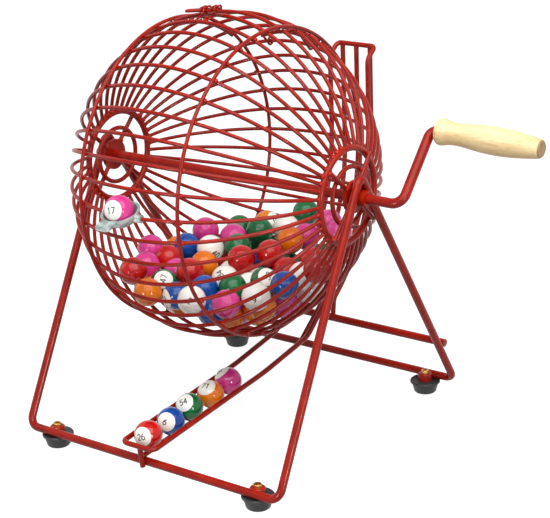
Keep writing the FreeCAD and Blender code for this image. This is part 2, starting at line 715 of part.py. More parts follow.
pin_points = []
for sign in (1, -1):
    prong = [on_latch(x, sign * off, latch_line(x)) for x, off in (
        (size("LatchEnd"), PRONG_OFF), (-10.0, PRONG_OFF), (size("LatchTip"), PRONG_OFF_TIP))]
    pin_points += prong[::sign]
finish(swept_rod("latch_pin", bent_path(pin_points, [30.0, 1.45, 1.45, 30.0]), "LatchDia"),
       "latch_pin")


def hook(station, wire_angle, wire):
    """Hook from a wire, under the hairpin, up its far side and back over it."""
    reach = cage_radius(station)
    swing = math.radians(size("LatchAngle") - wire_angle)
    side = 1 if swing > 0 else -1
    middle = latch_line(station)
    half = pin_r + HOOK_SLACK + hook_r
    wide = side * (half + PRONG_OFF)
    path = bent_path([
        on_latch(station, reach * math.sin(swing), reach * math.cos(swing) - size("CageCrown")),
        on_latch(station, -wide, middle - half),
        on_latch(station, -wide, middle + half),
        on_latch(station, wide, middle + half),
        on_latch(station, wide, middle - half + hook_r + 0.5),
    ], [1.5, 1.5, 1.5])
    return pipe(path, hook_r).cut(wire)


front_wire = turned_copies(meridian.Shape, [size("WireFirst")]).Solids[0]
keep_shape("latch_guides", Part.makeCompound(
    [hook(x, door_angles[0], front_bar) for x in (-4.9, 5.2)]))
keep_shape("latch_keeper", Part.makeCompound(
    [hook(x, size("WireFirst"), front_wire) for x in (-8.5, 1.6)]))

# ---------------------------------------------------------------------------
# Ball catcher: cast bowl with a slanting rim, a flat tongue that points outwards
# and a lug at each side round the ends of the cut meridian
# ---------------------------------------------------------------------------
cup_at = polar(0, size("CupReach"), size("CupAngle"))
outer_r = size("CupOuter")
inner_r = outer_r - size("CupWall")
tilt = Base.Rotation(AXLE, size("CupTilt"))
rim_up = tilt.multVec(V(0, 0, 1))
rim_out = tilt.multVec(V(0, -1, 0))
rim_middle = cup_at - rim_up * size("CupRimDrop")


def tilted_block(width, length, height, back, top):
    """Block square to the rim: its back edge and its top counted from the rim's middle."""
    block = Part.makeBox(width, length, height)
    block.Placement = Base.Placement(V(), tilt) * Base.Placement(
        V(-width / 2, -length, -height), Base.Rotation())
    block.translate(rim_middle + rim_out * back + rim_up * top)
    return block


cup = Part.makeSphere(outer_r, cup_at).common(tilted_block(60, 60, 60, -30, 0))
rim_radius = math.sqrt(outer_r ** 2 - size("CupRimDrop") ** 2)
tip = (size("TongueReach") - rim_middle.Length - rim_radius) / math.cos(math.radians(4.0))
tongue_thick = 2.2
tongue_back = rim_radius - 3.0
tongue = tilted_block(size("TongueWidth"), tip + 3.0, tongue_thick, tongue_back, 0)
outline = [e for e in tongue.Edges
           if all(abs((v.Point - rim_middle).dot(rim_out) - tongue_back - tip - 3.0) < 1e-3
                  for v in e.Vertexes) and abs(e.tangentAt(0).dot(rim_up)) > 0.9]
tongue = tongue.makeFillet(3.0, outline)
lugs = []
for side in (-1, 1):
    at = [polar(side * x, cage_radius(x), size("CupWireAngle")) for x in (9.5, 17.6)]
    lugs.append(Part.makeCylinder(3.1, at[0].distanceToPoint(at[1]), at[0], at[1] - at[0]))
cup = cup.fuse(tongue).multiFuse(lugs).cut(Part.makeSphere(inner_r, cup_at))
stub_wires = stubs.Shape.copy()
stub_wires.translate(HOME * -1)
keep_shape("ball_catcher", cup.cut(stub_wires).Solids[0])

# ---------------------------------------------------------------------------
# Balls: one in the catcher, five on the runway, the rest piled in the cage
# ---------------------------------------------------------------------------
ball_sag = BALL_R - inner_r
keep_shape("ball_in_catcher", Part.makeSphere(BALL_R, cup_at + V(0, 0, ball_sag)))


def floor_height(y):
    """Top of the floor wire on the straight part of the ramp."""
    share = (y - floor_points[0].y) / (floor_points[1].y - floor_points[0].y)
    centre = floor_points[0].z + share * (floor_points[1].z - floor_points[0].z)
    return centre + size("GuideDia") / 2


for i, colour in enumerate(("red", "blue", "green", "orange", "pink")):
    y = size("RunwayFirst") + i * size("RunwayPitch")
    ball = doc.addObject("Part::Sphere", "runway_ball_" + colour)
    ball.setExpression("Radius", "Sizes.BallDia / 2")
    lean = 0.9 if i % 2 else -0.9
    ball.Placement = Base.Placement(V(lean, y, floor_height(y) + BALL_R + 0.35),
                                    Base.Rotation())
    finish(ball, "runway_ball_" + colour)


# balls seen on top of the heap: colour, place along the axle, place front to back, and
# how far ahead of that place the ball lies on its line
HEAP_TOP = [
    ("pink", -52, 33, 0), ("pink", -22, 32, 0), ("green", -8, 48, -4),
    ("orange", -10, 62, -16), ("green", 9, 90, 0), ("white", 10, 63, -6),
    ("pink", 38, 82, 0), ("pink", 56, 69, 0), ("orange", 26, 44, -8),
    ("pink", 34, 55, -10), ("blue", -49, 4, -2), ("white", -24, 4, -6),
    ("green", -8, 18, -4), ("pink", -72, -12, -6), ("red", -47, -25, -8),
    ("orange", -15, -18, 0), ("red", 8, 1, 2), ("red", 24, 19, 0),
    ("pink", -56, -37, -4), ("red", -62, -47, 4), ("green", -23, -58, -8),
    ("red", -18, -31, -6), ("white", 17, -30, -12), ("orange", -26, -73, 4),
    ("blue", 13, -51, -4), ("green", 30, -40, -4), ("white", 43, -33, -16),
    ("green", 49, -24, -6), ("red", 55, 0, 0), ("white", 18, -74, 2),
    ("pink", 43, -65, 4), ("white", 58, -46, 4), ("blue", 66, -21, 2),
    ("red", 64, 19, 0), ("red", 79, 6, 0), ("white", 72, -3, -4),
]
# balls a little below them that still show between the wires: also their height
HEAP_EDGE = [("orange", 39, -24, -102), ("blue", 21, -56, -95), ("blue", -6, -72, -89)]
HEAP_LEVEL = -70.0
HEAP_SLOPE = 0.15
HIDDEN = ("red", "blue", "green", "orange", "pink", "white")
# line along which a ball of the top layer is free to find its depth
HEAP_SLIP = V(0.581, -0.739, 0.340)
SEEN_SHARE = 0.15                 # part of a push that a ball of the top layer takes


def share_push(a, b, share, gap):
    """Push two balls apart until they touch; the first moves by its share."""
    dx = a[0] - b[0]
    if abs(dx) > gap:
        return
    dy = a[1] - b[1]
    if abs(dy) > gap:
        return
    dz = a[2] - b[2]
    d2 = dx * dx + dy * dy + dz * dz
    if gap * gap > d2 > 1e-9:
        push = gap / math.sqrt(d2) - 1.0
        for k, d in enumerate((dx, dy, dz)):
            a[k] += d * push * share
            b[k] -= d * push * (1.0 - share)


def keep_inside(p, semi, crown, passing):
    """Bring one ball back inside the wires and clear of what passes by inside them."""
    out = math.hypot(p[1], p[2])
    for station, radius, need in passing:
        off = abs(abs(p[0]) - station)
        if off < need:
            limit = radius - math.sqrt(need * need - off * off)
            if out > limit:
                p[1] *= limit / out
                p[2] *= limit / out
                out = limit
    reach = math.hypot(p[0] / semi, out / crown)
    if reach > 1:
        for k in range(3):
            p[k] /= reach


def settle(seen, ahead, count):
    """Let loose balls find room under the ones that are seen, inside the wires.

    Each pass draws the seen balls back to their lines, gently towards their places
    on them, and lowers the loose ones, then pushes overlapping pairs apart and brings
    each ball back inside the wires, clear of the catcher, the door's end bars and its
    loops as they pass by.
    """
    gap = 2 * BALL_R + 0.02
    room = wire_r + BALL_R + 0.5
    wanted = [V(*p) + HEAP_SLIP * a for p, a in zip(seen, ahead)]
    places = [list(p) for p in wanted]
    fixed = len(seen)
    layer = 0
    while len(places) < count and layer < 12:
        for column in range(-3, 4):
            for line in range(-3, 4):
                y = line * 23.0 + (layer % 2) * 9.0 - column * 0.8
                z = HEAP_LEVEL + HEAP_SLOPE * y - 20.0 - 12.0 * layer
                x = column * 23.5 + (layer % 2) * 8.0 + line * 1.3
                inside = math.hypot(x / 102.0, math.hypot(y, z) / 111.0)
                if len(places) < count and inside < 1.06:
                    places.append([x, y, z])
        layer += 1
    crown = size("CageCrown") - room
    semi = 116.8 - room
    passing = [
        (0.0, size("CupReach"), outer_r + BALL_R + 0.6),
        (half_door, under, bar_r + BALL_R + 0.5),
        (size("HingeLoopStation"), size("CageCrown") - 2 * LOOP_EYE,
         LOOP_WIRE_R + BALL_R + 0.8),
    ]
    for step in range(750):
        pull = 0.15 if step < 500 else 0.045 if step < 625 else 0.0
        hold = 0.02 if step < 500 else 0.0
        sink = 0.45 if step < 620 else 0.0
        for i, p in enumerate(places):
            if i < fixed:
                off = wanted[i] - V(*p)
                along = HEAP_SLIP * (off * HEAP_SLIP)
                step_by = (off - along) * pull + along * hold
                for k in range(3):
                    p[k] += step_by[k]
            else:
                p[2] -= sink
        for repeat in range(2):
            for i in range(count):
                for j in range(i + 1, count):
                    share = 0.5
                    if i < fixed <= j:
                        share = SEEN_SHARE / (1.0 + SEEN_SHARE)
                    share_push(places[i], places[j], share, gap)
            for p in places:
                keep_inside(p, semi, crown, passing)
    return places


seen = [(x, y, HEAP_LEVEL + HEAP_SLOPE * y) for colour, x, y, ahead in HEAP_TOP]
seen += [(x, y, z) for colour, x, y, z in HEAP_EDGE]
colours = [row[0] for row in HEAP_TOP + HEAP_EDGE]
aheads = [row[3] for row in HEAP_TOP] + [0] * len(HEAP_EDGE)
places = settle(seen, aheads, int(size("PileCount")))
piles = {}
for i, place in enumerate(places):
    colour = colours[i] if i < len(colours) else HIDDEN[i % len(HIDDEN)]
    piles.setdefault(colour, []).append(Part.makeSphere(BALL_R, V(*place)))
for colour, balls in piles.items():
    keep_shape("pile_balls_" + colour, Part.makeCompound(balls))

# ---------------------------------------------------------------------------
# Checks and export
# ---------------------------------------------------------------------------
doc.recompute()
for obj in doc.Objects:
    if "Invalid" in obj.State or "Error" in obj.State:
        raise RuntimeError("feature %s is %s" % (obj.Label, obj.State))
for obj in nodes:
    if obj.Shape.isNull() or not obj.Shape.isValid():
        raise RuntimeError("shape of %s is not valid" % obj.Label)
    if not obj.Shape.Solids:
        raise RuntimeError("%s has no solid" % obj.Label)
    obj.Shape.exportStep("parts/%s.step" % obj.Label)

box = Base.BoundBox()
for obj in nodes:
    box.add(obj.Shape.BoundBox)
print("nodes", len(nodes), "box X %.2f %.2f  Y %.2f %.2f  Z %.2f %.2f" % (
    box.XMin, box.XMax, box.YMin, box.YMax, box.ZMin, box.ZMax))
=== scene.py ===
"""Look of the tabletop ball-draw cage: enamelled wire, turned beech grip, cast catcher and balls.

Units in this file are metres, except for names that end in _MM.  The frame has +X along the
axle towards the crank, +Y towards the hood at the back and +Z up.
"""
import json
import math

import bpy
import numpy as np
from mathutils import Matrix, Vector


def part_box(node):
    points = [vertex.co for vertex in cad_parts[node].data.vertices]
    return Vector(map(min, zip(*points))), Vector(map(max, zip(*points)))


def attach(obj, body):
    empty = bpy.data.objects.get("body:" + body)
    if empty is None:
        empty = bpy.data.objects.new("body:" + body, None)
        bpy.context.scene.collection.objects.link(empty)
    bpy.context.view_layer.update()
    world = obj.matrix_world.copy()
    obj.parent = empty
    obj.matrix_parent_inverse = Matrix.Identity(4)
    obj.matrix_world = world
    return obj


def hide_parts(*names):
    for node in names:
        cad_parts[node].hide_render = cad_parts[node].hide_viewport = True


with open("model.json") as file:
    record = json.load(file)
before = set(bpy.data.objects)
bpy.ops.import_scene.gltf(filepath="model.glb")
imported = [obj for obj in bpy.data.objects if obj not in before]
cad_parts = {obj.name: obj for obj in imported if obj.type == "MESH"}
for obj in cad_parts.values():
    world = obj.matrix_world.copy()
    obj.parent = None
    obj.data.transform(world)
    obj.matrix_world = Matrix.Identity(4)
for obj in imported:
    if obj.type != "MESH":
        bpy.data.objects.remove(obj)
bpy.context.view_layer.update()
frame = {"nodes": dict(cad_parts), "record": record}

MM = 0.001
nodes = frame["nodes"]


# --------------------------------------------------------------------------------------
# Places taken from the frame
# --------------------------------------------------------------------------------------
def middle_of(node):
    """Middle of a node's box."""
    low, high = (np.array(corner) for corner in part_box(node))
    return (low + high) / 2


AXLE = (middle_of("band_ring_crank_end") + middle_of("band_ring_far_end")) / 2
BALL_RADIUS = float(np.ptp(np.array(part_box("runway_ball_red")), axis=0)[0]) / 2


# The side the object is seen from: turned from the front towards the crank, raised and rolled
AZIMUTH = math.radians(36.61)
ELEVATION = math.radians(19.75)
ROLL = math.radians(-2.21)


def viewing_frame():
    """Right, up and back directions of somebody looking from that side."""
    back = np.array([math.sin(AZIMUTH) * math.cos(ELEVATION),
                     -math.cos(AZIMUTH) * math.cos(ELEVATION), math.sin(ELEVATION)])
    level = np.array([math.cos(AZIMUTH), math.sin(AZIMUTH), 0.0])
    upright = np.cross(back, level)
    right = level * math.cos(ROLL) + upright * math.sin(ROLL)
    up = upright * math.cos(ROLL) - level * math.sin(ROLL)
    return right, up, back


def facing(across, rise):
    """Direction to the spot on a ball that is seen this far right and up of its middle,
    counted in radii of the ball."""
    right, up, back = viewing_frame()
    depth = math.sqrt(max(0.0, 1 - across * across - rise * rise))
    return right * across + up * rise + back * depth


def colours_of(red, green, blue):
    """Linear colour from the 0 to 255 values a paint card gives."""
    card = np.array([red, green, blue]) / 255.0
    linear = np.where(card <= 0.04045, card / 12.92, ((card + 0.055) / 1.055) ** 2.4)
    return (*linear.tolist(), 1.0)


# --------------------------------------------------------------------------------------
# Node graphs
# --------------------------------------------------------------------------------------
class Finish:
    """A material with one Principled shader, filled in step by step."""

    def __init__(self, name):
        self.material = bpy.data.materials.new(name)
        self.material.use_nodes = True
        self.tree = self.material.node_tree
        self.shader = self.tree.nodes["Principled BSDF"]
        self.place = self.tree.nodes.new("ShaderNodeTexCoord").outputs["Object"]

    def put(self, **sockets):
        """Constant values on the shader's own sockets."""
        for name, value in sockets.items():
            self.shader.inputs[name.replace("_", " ")].default_value = value

    def link(self, source, target):
        self.tree.links.new(source, target)

    def stretched(self, scale, turn=(0.0, 0.0, 0.0)):
        """Object coordinates, scaled apart along the three axes."""
        node = self.tree.nodes.new("ShaderNodeMapping")
        node.inputs["Scale"].default_value = scale
        node.inputs["Rotation"].default_value = turn
        self.link(self.place, node.inputs["Vector"])
        return node.outputs["Vector"]

    def noise(self, scale, detail=3.0, rough=0.5, where=None, distortion=0.0):
        node = self.tree.nodes.new("ShaderNodeTexNoise")
        node.inputs["Scale"].default_value = scale
        node.inputs["Detail"].default_value = detail
        node.inputs["Roughness"].default_value = rough
        node.inputs["Distortion"].default_value = distortion
        self.link(where or self.place, node.inputs["Vector"])
        return node.outputs["Fac"]

    def ramp(self, source, stops):
        """Colour ramp; stops are (position, colour)."""
        node = self.tree.nodes.new("ShaderNodeValToRGB")
        band = node.color_ramp
        while len(band.elements) < len(stops):
            band.elements.new(0.5)
        for element, (position, colour) in zip(band.elements, stops):
            element.position = position
            element.color = colour
        self.link(source, node.inputs["Fac"])
        return node.outputs["Color"]

    def between(self, source, low, high, start=0.3, end=0.7):
        """Number from low to high as source goes from start to end."""
        node = self.tree.nodes.new("ShaderNodeMapRange")
        node.inputs["From Min"].default_value = start
        node.inputs["From Max"].default_value = end
        node.inputs["To Min"].default_value = low
        node.inputs["To Max"].default_value = high
        self.link(source, node.inputs["Value"])
        return node.outputs["Result"]

    def mixed(self, share, first, second):
        """Colour mix; share, first and second are sockets or constants."""
        node = self.tree.nodes.new("ShaderNodeMix")
        node.data_type = "RGBA"
        for socket, value in ((node.inputs["Factor"], share), (node.inputs[6], first),
                              (node.inputs[7], second)):
            if isinstance(value, bpy.types.NodeSocket):
                self.link(value, socket)
            else:
                socket.default_value = value
        return node.outputs[2]

    def bump(self, height, strength, depth, below=None):
        """Bump of the given depth in metres, laid over another bump."""
        node = self.tree.nodes.new("ShaderNodeBump")
        node.inputs["Strength"].default_value = strength
        node.inputs["Distance"].default_value = depth
        self.link(height, node.inputs["Height"])
        if below is not None:
            self.link(below, node.inputs["Normal"])
        return node.outputs["Normal"]

    def colour(self, source):
        self.link(source, self.shader.inputs["Base Color"])

    def roughness(self, source):
        self.link(source, self.shader.inputs["Roughness"])

    def normal(self, source):
        self.link(source, self.shader.inputs["Normal"])


# --------------------------------------------------------------------------------------
# Finishes
# --------------------------------------------------------------------------------------
def red_enamel(name="red_enamel", painted_highlight_lift=1.0):
    """Gloss enamel dipped over wire: pools a shade darker, orange peel, soft gloss."""
    f = Finish(name)
    pools = f.noise(75.0, 4.0, 0.55)
    # painted_highlight_lift lightens every colour of the enamel; above 1 it is a painted
    # highlight, used for the weld beads
    tint = f.ramp(pools, [(0.30, colours_of(134 * painted_highlight_lift, 17 * painted_highlight_lift, 5 * painted_highlight_lift)),
                          (0.55, colours_of(150 * painted_highlight_lift, 24 * painted_highlight_lift, 7 * painted_highlight_lift)),
                          (0.78, colours_of(166 * painted_highlight_lift, 33 * painted_highlight_lift, 11 * painted_highlight_lift))])
    specks = f.noise(1400.0, 2.0, 0.6)
    f.colour(f.mixed(f.between(specks, 0.0, 0.30, 0.58, 0.72), tint,
                     colours_of(110, 9, 6)))
    f.roughness(f.between(f.noise(260.0, 3.0), 0.26, 0.38))
    peel = f.bump(f.noise(900.0, 2.0), 0.20, 0.0003)
    f.normal(f.bump(f.noise(120.0, 2.0), 0.25, 0.0008, peel))
    f.put(Coat_Weight=0.16, Coat_Roughness=0.10, IOR=1.45, Specular_IOR_Level=0.12)
    return f.material


END_GRAIN_DEPTH = 1.1 * MM      # how far the darker end grain reaches in from the grip's end
END_GRAIN_BLUR = 0.3 * MM


def turned_beech():
    """Beech: pale ground, long growth lines along X, the short dark flecks of its rays,
    and darker end grain on the outer end of the grip."""
    f = Finish("turned_beech")
    along = f.stretched((14.0, 210.0, 210.0))
    growth = f.noise(1.0, 5.0, 0.6, along, 0.8)
    ground = f.ramp(growth, [(0.26, colours_of(206, 168, 112)),
                             (0.46, colours_of(236, 208, 154)),
                             (0.72, colours_of(246, 224, 176))])
    flecks = f.noise(1.0, 2.0, 0.5, f.stretched((120.0, 1500.0, 1500.0)))
    shade = f.mixed(f.between(flecks, 0.0, 0.60, 0.60, 0.70), ground,
                    colours_of(190, 148, 92))
    clouds = f.noise(28.0, 2.0)
    side = f.mixed(f.between(clouds, 0.0, 0.30, 0.40, 0.75), shade,
                   colours_of(226, 192, 138))
    rings = f.noise(1.0, 4.0, 0.6, f.stretched((20.0, 330.0, 90.0)), 0.6)
    cut = f.ramp(rings, [(0.30, colours_of(138, 106, 68)), (0.70, colours_of(184, 150, 104))])
    apart = f.tree.nodes.new("ShaderNodeSeparateXYZ")
    f.link(f.place, apart.inputs["Vector"])
    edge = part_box("grip")[1][0] - END_GRAIN_DEPTH
    f.colour(f.mixed(f.between(apart.outputs["X"], 0.0, 1.0, edge - END_GRAIN_BLUR,
                               edge + END_GRAIN_BLUR), side, cut))
    f.roughness(f.between(growth, 0.42, 0.56))
    f.normal(f.bump(flecks, 0.25, 0.0002))
    f.put(Coat_Weight=0.08, Coat_Roughness=0.35, Specular_IOR_Level=0.35)
    return f.material


def moulded_rubber():
    """Black rubber: fine grain, bloom of a slightly greyer black."""
    f = Finish("moulded_rubber")
    bloom = f.noise(90.0, 4.0, 0.6)
    f.colour(f.ramp(bloom, [(0.35, colours_of(20, 20, 22)), (0.75, colours_of(44, 43, 45))]))
    f.roughness(f.between(bloom, 0.38, 0.58))
    f.normal(f.bump(f.noise(1600.0, 2.0), 0.35, 0.0002))
    f.put(Specular_IOR_Level=0.45)
    return f.material


def brassed_steel():
    """Brass plate with faint tarnish."""
    f = Finish("brassed_steel")
    tarnish = f.noise(420.0, 4.0, 0.6)
    f.colour(f.ramp(tarnish, [(0.35, colours_of(150, 105, 52)),
                              (0.70, colours_of(214, 172, 96))]))
    f.roughness(f.between(tarnish, 0.42, 0.24))
    f.normal(f.bump(f.noise(2400.0, 2.0), 0.2, 0.0001))
    f.put(Metallic=1.0)
    return f.material


def zinc_plate():
    """Zinc plated steel, a little streaky."""
    f = Finish("zinc_plate")
    streaks = f.noise(300.0, 4.0, 0.6)
    f.colour(f.ramp(streaks, [(0.35, colours_of(150, 152, 154)),
                              (0.70, colours_of(198, 200, 198))]))
    f.roughness(f.between(streaks, 0.45, 0.28))
    f.put(Metallic=1.0)
    return f.material


def cast_zinc():
    """Cast zinc: cool grey skin, mottled bright and dull, with shallow flow marks."""
    f = Finish("cast_zinc")
    mottle = f.noise(170.0, 5.0, 0.62, None, 0.6)
    f.colour(f.ramp(mottle, [(0.30, colours_of(126, 142, 138)),
                             (0.50, colours_of(176, 192, 188)),
                             (0.72, colours_of(216, 226, 222))]))
    f.roughness(f.between(f.noise(320.0, 4.0), 0.22, 0.44))
    f.normal(f.bump(mottle, 0.5, 0.0009))
    f.put(Metallic=0.6)
    return f.material


def ball_plastic(name, dark, light):
    """Polished ball plastic: a cloudy tint and the finest of swirls under the gloss."""
    f = Finish(name)
    cloud = f.noise(60.0, 3.0, 0.5)
    f.colour(f.ramp(cloud, [(0.30, colours_of(*dark)), (0.70, colours_of(*light))]))
    f.roughness(f.between(f.noise(500.0, 3.0), 0.14, 0.20))
    f.normal(f.bump(f.noise(260.0, 2.0), 0.03, 0.0001))
    f.put(Coat_Weight=0.30, Coat_Roughness=0.04, IOR=1.45, Specular_IOR_Level=0.26)
    return f.material


def printing_ink():
    """Black printing ink, slightly worn through."""
    f = Finish("printing_ink")
    wear = f.noise(1500.0, 4.0, 0.6)
    f.colour(f.ramp(wear, [(0.55, colours_of(26, 26, 30)), (0.85, colours_of(90, 90, 96))]))
    f.roughness(f.between(wear, 0.35, 0.55))
    return f.material


BALL_TINTS = {
    "red": ((176, 10, 10), (206, 22, 18)),
    "blue": ((10, 58, 138), (22, 82, 166)),
    "green": ((4, 84, 40), (12, 112, 58)),
    "orange": ((214, 100, 4), (234, 128, 14)),
    "pink": ((200, 44, 124), (222, 72, 150)),
    "white": ((240, 236, 226), (250, 248, 242)),
}
FINISHES = {
    "red_paint": red_enamel(),
    # The weld beads get the enamel 12% lighter: a painted highlight for the light their bulges
    # catch
    "red_weld": red_enamel("red_weld", 1.12),
    "beech": turned_beech(),
    "foot_rubber": moulded_rubber(),
    "screw_brass": brassed_steel(),
    "plated_steel": zinc_plate(),
    "cast_zinc": cast_zinc(),
    "ink": printing_ink(),
}
for tint, (dark, light) in BALL_TINTS.items():
    FINISHES["ball_" + tint] = ball_plastic("ball_" + tint, dark, light)


def dress_cad_nodes():
    """Every CAD node that shows gets the finish of its slot in the record."""
    for part in frame["record"]["subparts"]:
        data = nodes[part["node"]].data
        data.materials.clear()
        data.materials.append(FINISHES[part["material_slot"]])


# --------------------------------------------------------------------------------------
# Meshes from arrays
# --------------------------------------------------------------------------------------
def grid_faces(rows, columns, first=0, closed=True):
    """Quads of a grid of rows x columns points, wrapped round along the columns."""
    row = np.arange(rows - 1)[:, None]
    column = np.arange(columns if closed else columns - 1)[None, :]
    ahead = (column + 1) % columns
    corners = (row * columns + column, row * columns + ahead,
               (row + 1) * columns + ahead, (row + 1) * columns + column)
    return np.stack([np.broadcast_to(c, (rows - 1, column.size)) for c in corners],
                    -1).reshape(-1, 4) + first


def make_piece(name, points, faces, materials, face_material=None, body="stand"):
    """One mesh object at the origin, from points in metres and quads or triangles."""
    mesh = bpy.data.meshes.new(name)
    mesh.from_pydata(points.tolist(), [], [list(face) for face in faces])
    for material in materials:
        mesh.materials.append(material)
    if face_material is not None:
        mesh.polygons.foreach_set("material_index", np.asarray(face_material, np.int32))
    mesh.polygons.foreach_set("use_smooth", np.ones(len(mesh.polygons), bool))
    mesh.update()
    piece = bpy.data.objects.new(name, mesh)
    bpy.context.scene.collection.objects.link(piece)
    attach(piece, body)
    return piece


# --------------------------------------------------------------------------------------
# Balls
# --------------------------------------------------------------------------------------
PATCH_ANGLE = math.radians(42.0)      # half angle of the white patch
PATCH_RINGS = 7
REST_RINGS = 15
AROUND = 32
INK_LIFT = 0.03 * MM
DIGIT_HEIGHT = 4.9 * MM
STROKE = 0.80 * MM
DIGIT_PITCH = 0.72                    # step between digits, and the middle of a digit's box,
DIGIT_MIDDLE = (0.30, 0.5)            # in heights of a digit
POLE = 0.002                          # smallest ring about a pole, in radians
FEWEST_FACETS = 60                    # a ball has at least this many facets in its CAD node


def centres_of(node):
    """Centres of the balls in a CAD node: each facet, moved in by one radius along its
    normal, lands near the centre of its own ball."""
    mesh = nodes[node].data
    count = len(mesh.polygons)
    middle = np.empty(count * 3)
    normal = np.empty(count * 3)
    mesh.polygons.foreach_get("center", middle)
    mesh.polygons.foreach_get("normal", normal)
    inner = middle.reshape(-1, 3) - BALL_RADIUS * normal.reshape(-1, 3)
    centres = []
    while len(inner):
        near = np.linalg.norm(inner - inner[0], axis=1) < BALL_RADIUS / 2
        if np.count_nonzero(near) > FEWEST_FACETS:    # a few sliver facets land elsewhere
            centres.append(np.median(inner[near], axis=0))
        inner = inner[~near]
    return centres


def upright_frame(axis):
    """Right and up directions of a numeral on a patch that faces along axis."""
    axis = axis / np.linalg.norm(axis)
    right = np.cross((0.0, 0.0, 1.0), axis)
    if np.linalg.norm(right) < 0.1:
        right = np.array([1.0, 0.0, 0.0])
    right = right / np.linalg.norm(right)
    return axis, right, np.cross(axis, right)


def ball_points(centre, axis, roll):
    """Sphere of rings about the patch's axis: radius x (sin ring x (cos, sin), cos ring),
    with one ring exactly on the edge of the patch."""
    axis, right, up = upright_frame(axis)
    ring = np.concatenate([np.linspace(POLE, PATCH_ANGLE, PATCH_RINGS),
                           np.linspace(PATCH_ANGLE, math.pi - POLE, REST_RINGS)[1:]])
    turn = np.linspace(0, 2 * math.pi, AROUND, endpoint=False) + roll
    out = (np.cos(ring)[:, None, None] * axis
           + np.sin(ring)[:, None, None] * (np.cos(turn)[None, :, None] * right
                                            + np.sin(turn)[None, :, None] * up))
    return centre + BALL_RADIUS * out.reshape(-1, 3)


def arc(cx, cy, rx, ry, start, end, count=15):
    """Stroke along an ellipse, angles in degrees."""
    a = np.radians(np.linspace(start, end, count))
    return np.stack([cx + rx * np.cos(a), cy + ry * np.sin(a)], 1)


def line(*corners):
    """Stroke along straight runs, with points between so that it can bend over a ball."""
    corners = np.array(corners, float)
    share = np.linspace(0, 1, 7)[:, None]
    return np.concatenate([a + share * (b - a) for a, b in zip(corners[:-1], corners[1:])])


# numerals as strokes in a box 0.6 wide and 1 high, standing on y = 0
NUMERALS = {
    "0": [arc(0.30, 0.50, 0.26, 0.46, 0, 360, 25)],
    "1": [line((0.10, 0.78), (0.34, 0.96), (0.34, 0.00))],
    "2": [arc(0.30, 0.70, 0.25, 0.26, 170, -35), line((0.50, 0.55), (0.04, 0.04), (0.58, 0.04))],
    "3": [arc(0.28, 0.73, 0.24, 0.23, 150, -90), arc(0.28, 0.27, 0.27, 0.25, 90, -150)],
    "4": [line((0.42, 0.00), (0.42, 0.96), (0.02, 0.30), (0.60, 0.30))],
    "5": [line((0.54, 0.94), (0.12, 0.94), (0.08, 0.52)), arc(0.28, 0.31, 0.27, 0.29, 130, -150)],
    "6": [arc(0.30, 0.30, 0.26, 0.28, 0, 360, 21), arc(0.48, 0.34, 0.44, 0.62, 180, 100, 11)],
    "7": [line((0.04, 0.94), (0.56, 0.94), (0.22, 0.00))],
    "8": [arc(0.30, 0.73, 0.21, 0.22, 0, 360, 19), arc(0.30, 0.26, 0.26, 0.25, 0, 360, 21)],
    "9": [arc(0.30, 0.68, 0.26, 0.28, 0, 360, 21), arc(0.12, 0.64, 0.44, 0.62, 0, -80, 11)],
}


def numeral_ribbons(number, centre, axis, roll):
    """Strokes of a number as ribbons over a ball.  A flat point (u, v) goes to the angle
    length(u, v) / radius from the patch's axis, in the direction of (u, v)."""
    axis, right, up = upright_frame(axis)
    text = str(number)
    strokes = []
    for place, digit in enumerate(text):
        shift = (place - (len(text) - 1) / 2) * DIGIT_PITCH - DIGIT_MIDDLE[0]
        for stroke in NUMERALS[digit]:
            strokes.append((stroke + (shift, -DIGIT_MIDDLE[1])) * DIGIT_HEIGHT)
    points, faces, first = [], [], 0
    for stroke in strokes:
        along = np.gradient(stroke, axis=0)
        along = along / np.maximum(np.linalg.norm(along, axis=1, keepdims=True), 1e-9)
        side = np.stack([-along[:, 1], along[:, 0]], 1) * STROKE / 2
        flat = np.stack([stroke + side, stroke - side], 1).reshape(-1, 2)
        c, s = math.cos(roll), math.sin(roll)
        flat = flat @ np.array([[c, s], [-s, c]])
        length = np.maximum(np.linalg.norm(flat, axis=1, keepdims=True), 1e-9)
        angle = length / BALL_RADIUS
        way = (flat[:, :1] * right + flat[:, 1:] * up) / length
        out = np.cos(angle) * axis + np.sin(angle) * way
        points.append(centre + (BALL_RADIUS + INK_LIFT) * out)
        faces.append(grid_faces(len(stroke), 2, first, closed=False))
        first += len(flat)
    return np.concatenate(points), np.concatenate(faces)


def balls_piece(name, tint, places, axes, rolls, numbers, body, stands_for):
    """Balls of one colour: coloured shells with a white patch, and printed numbers."""
    rings = PATCH_RINGS + REST_RINGS - 1
    shell = grid_faces(rings, AROUND)
    patch_faces = (PATCH_RINGS - 1) * AROUND
    index = np.ones(len(shell), int)
    index[:patch_faces] = 0
    points, faces, slots, first = [], [], [], 0
    for centre, axis, roll in zip(places, axes, rolls):
        grid = ball_points(np.asarray(centre), np.asarray(axis, float), roll)
        points.append(grid)
        faces.append(shell + first)
        slots.append(index)
        first += len(grid)
    piece = make_piece(name, np.concatenate(points), np.concatenate(faces),
                       [FINISHES["ball_white"], FINISHES["ball_" + tint]],
                       np.concatenate(slots), body)
    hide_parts(*stands_for)
    points, faces, first = [], [], 0
    for number, centre, axis, roll in zip(numbers, places, axes, rolls):
        ink, quads = numeral_ribbons(number, np.asarray(centre), np.asarray(axis, float), roll)
        points.append(ink)
        faces.append(quads + first)
        first += len(ink)
    make_piece(name + "_numbers", np.concatenate(points), np.concatenate(faces),
               [FINISHES["ink"]], None, body)
    return piece


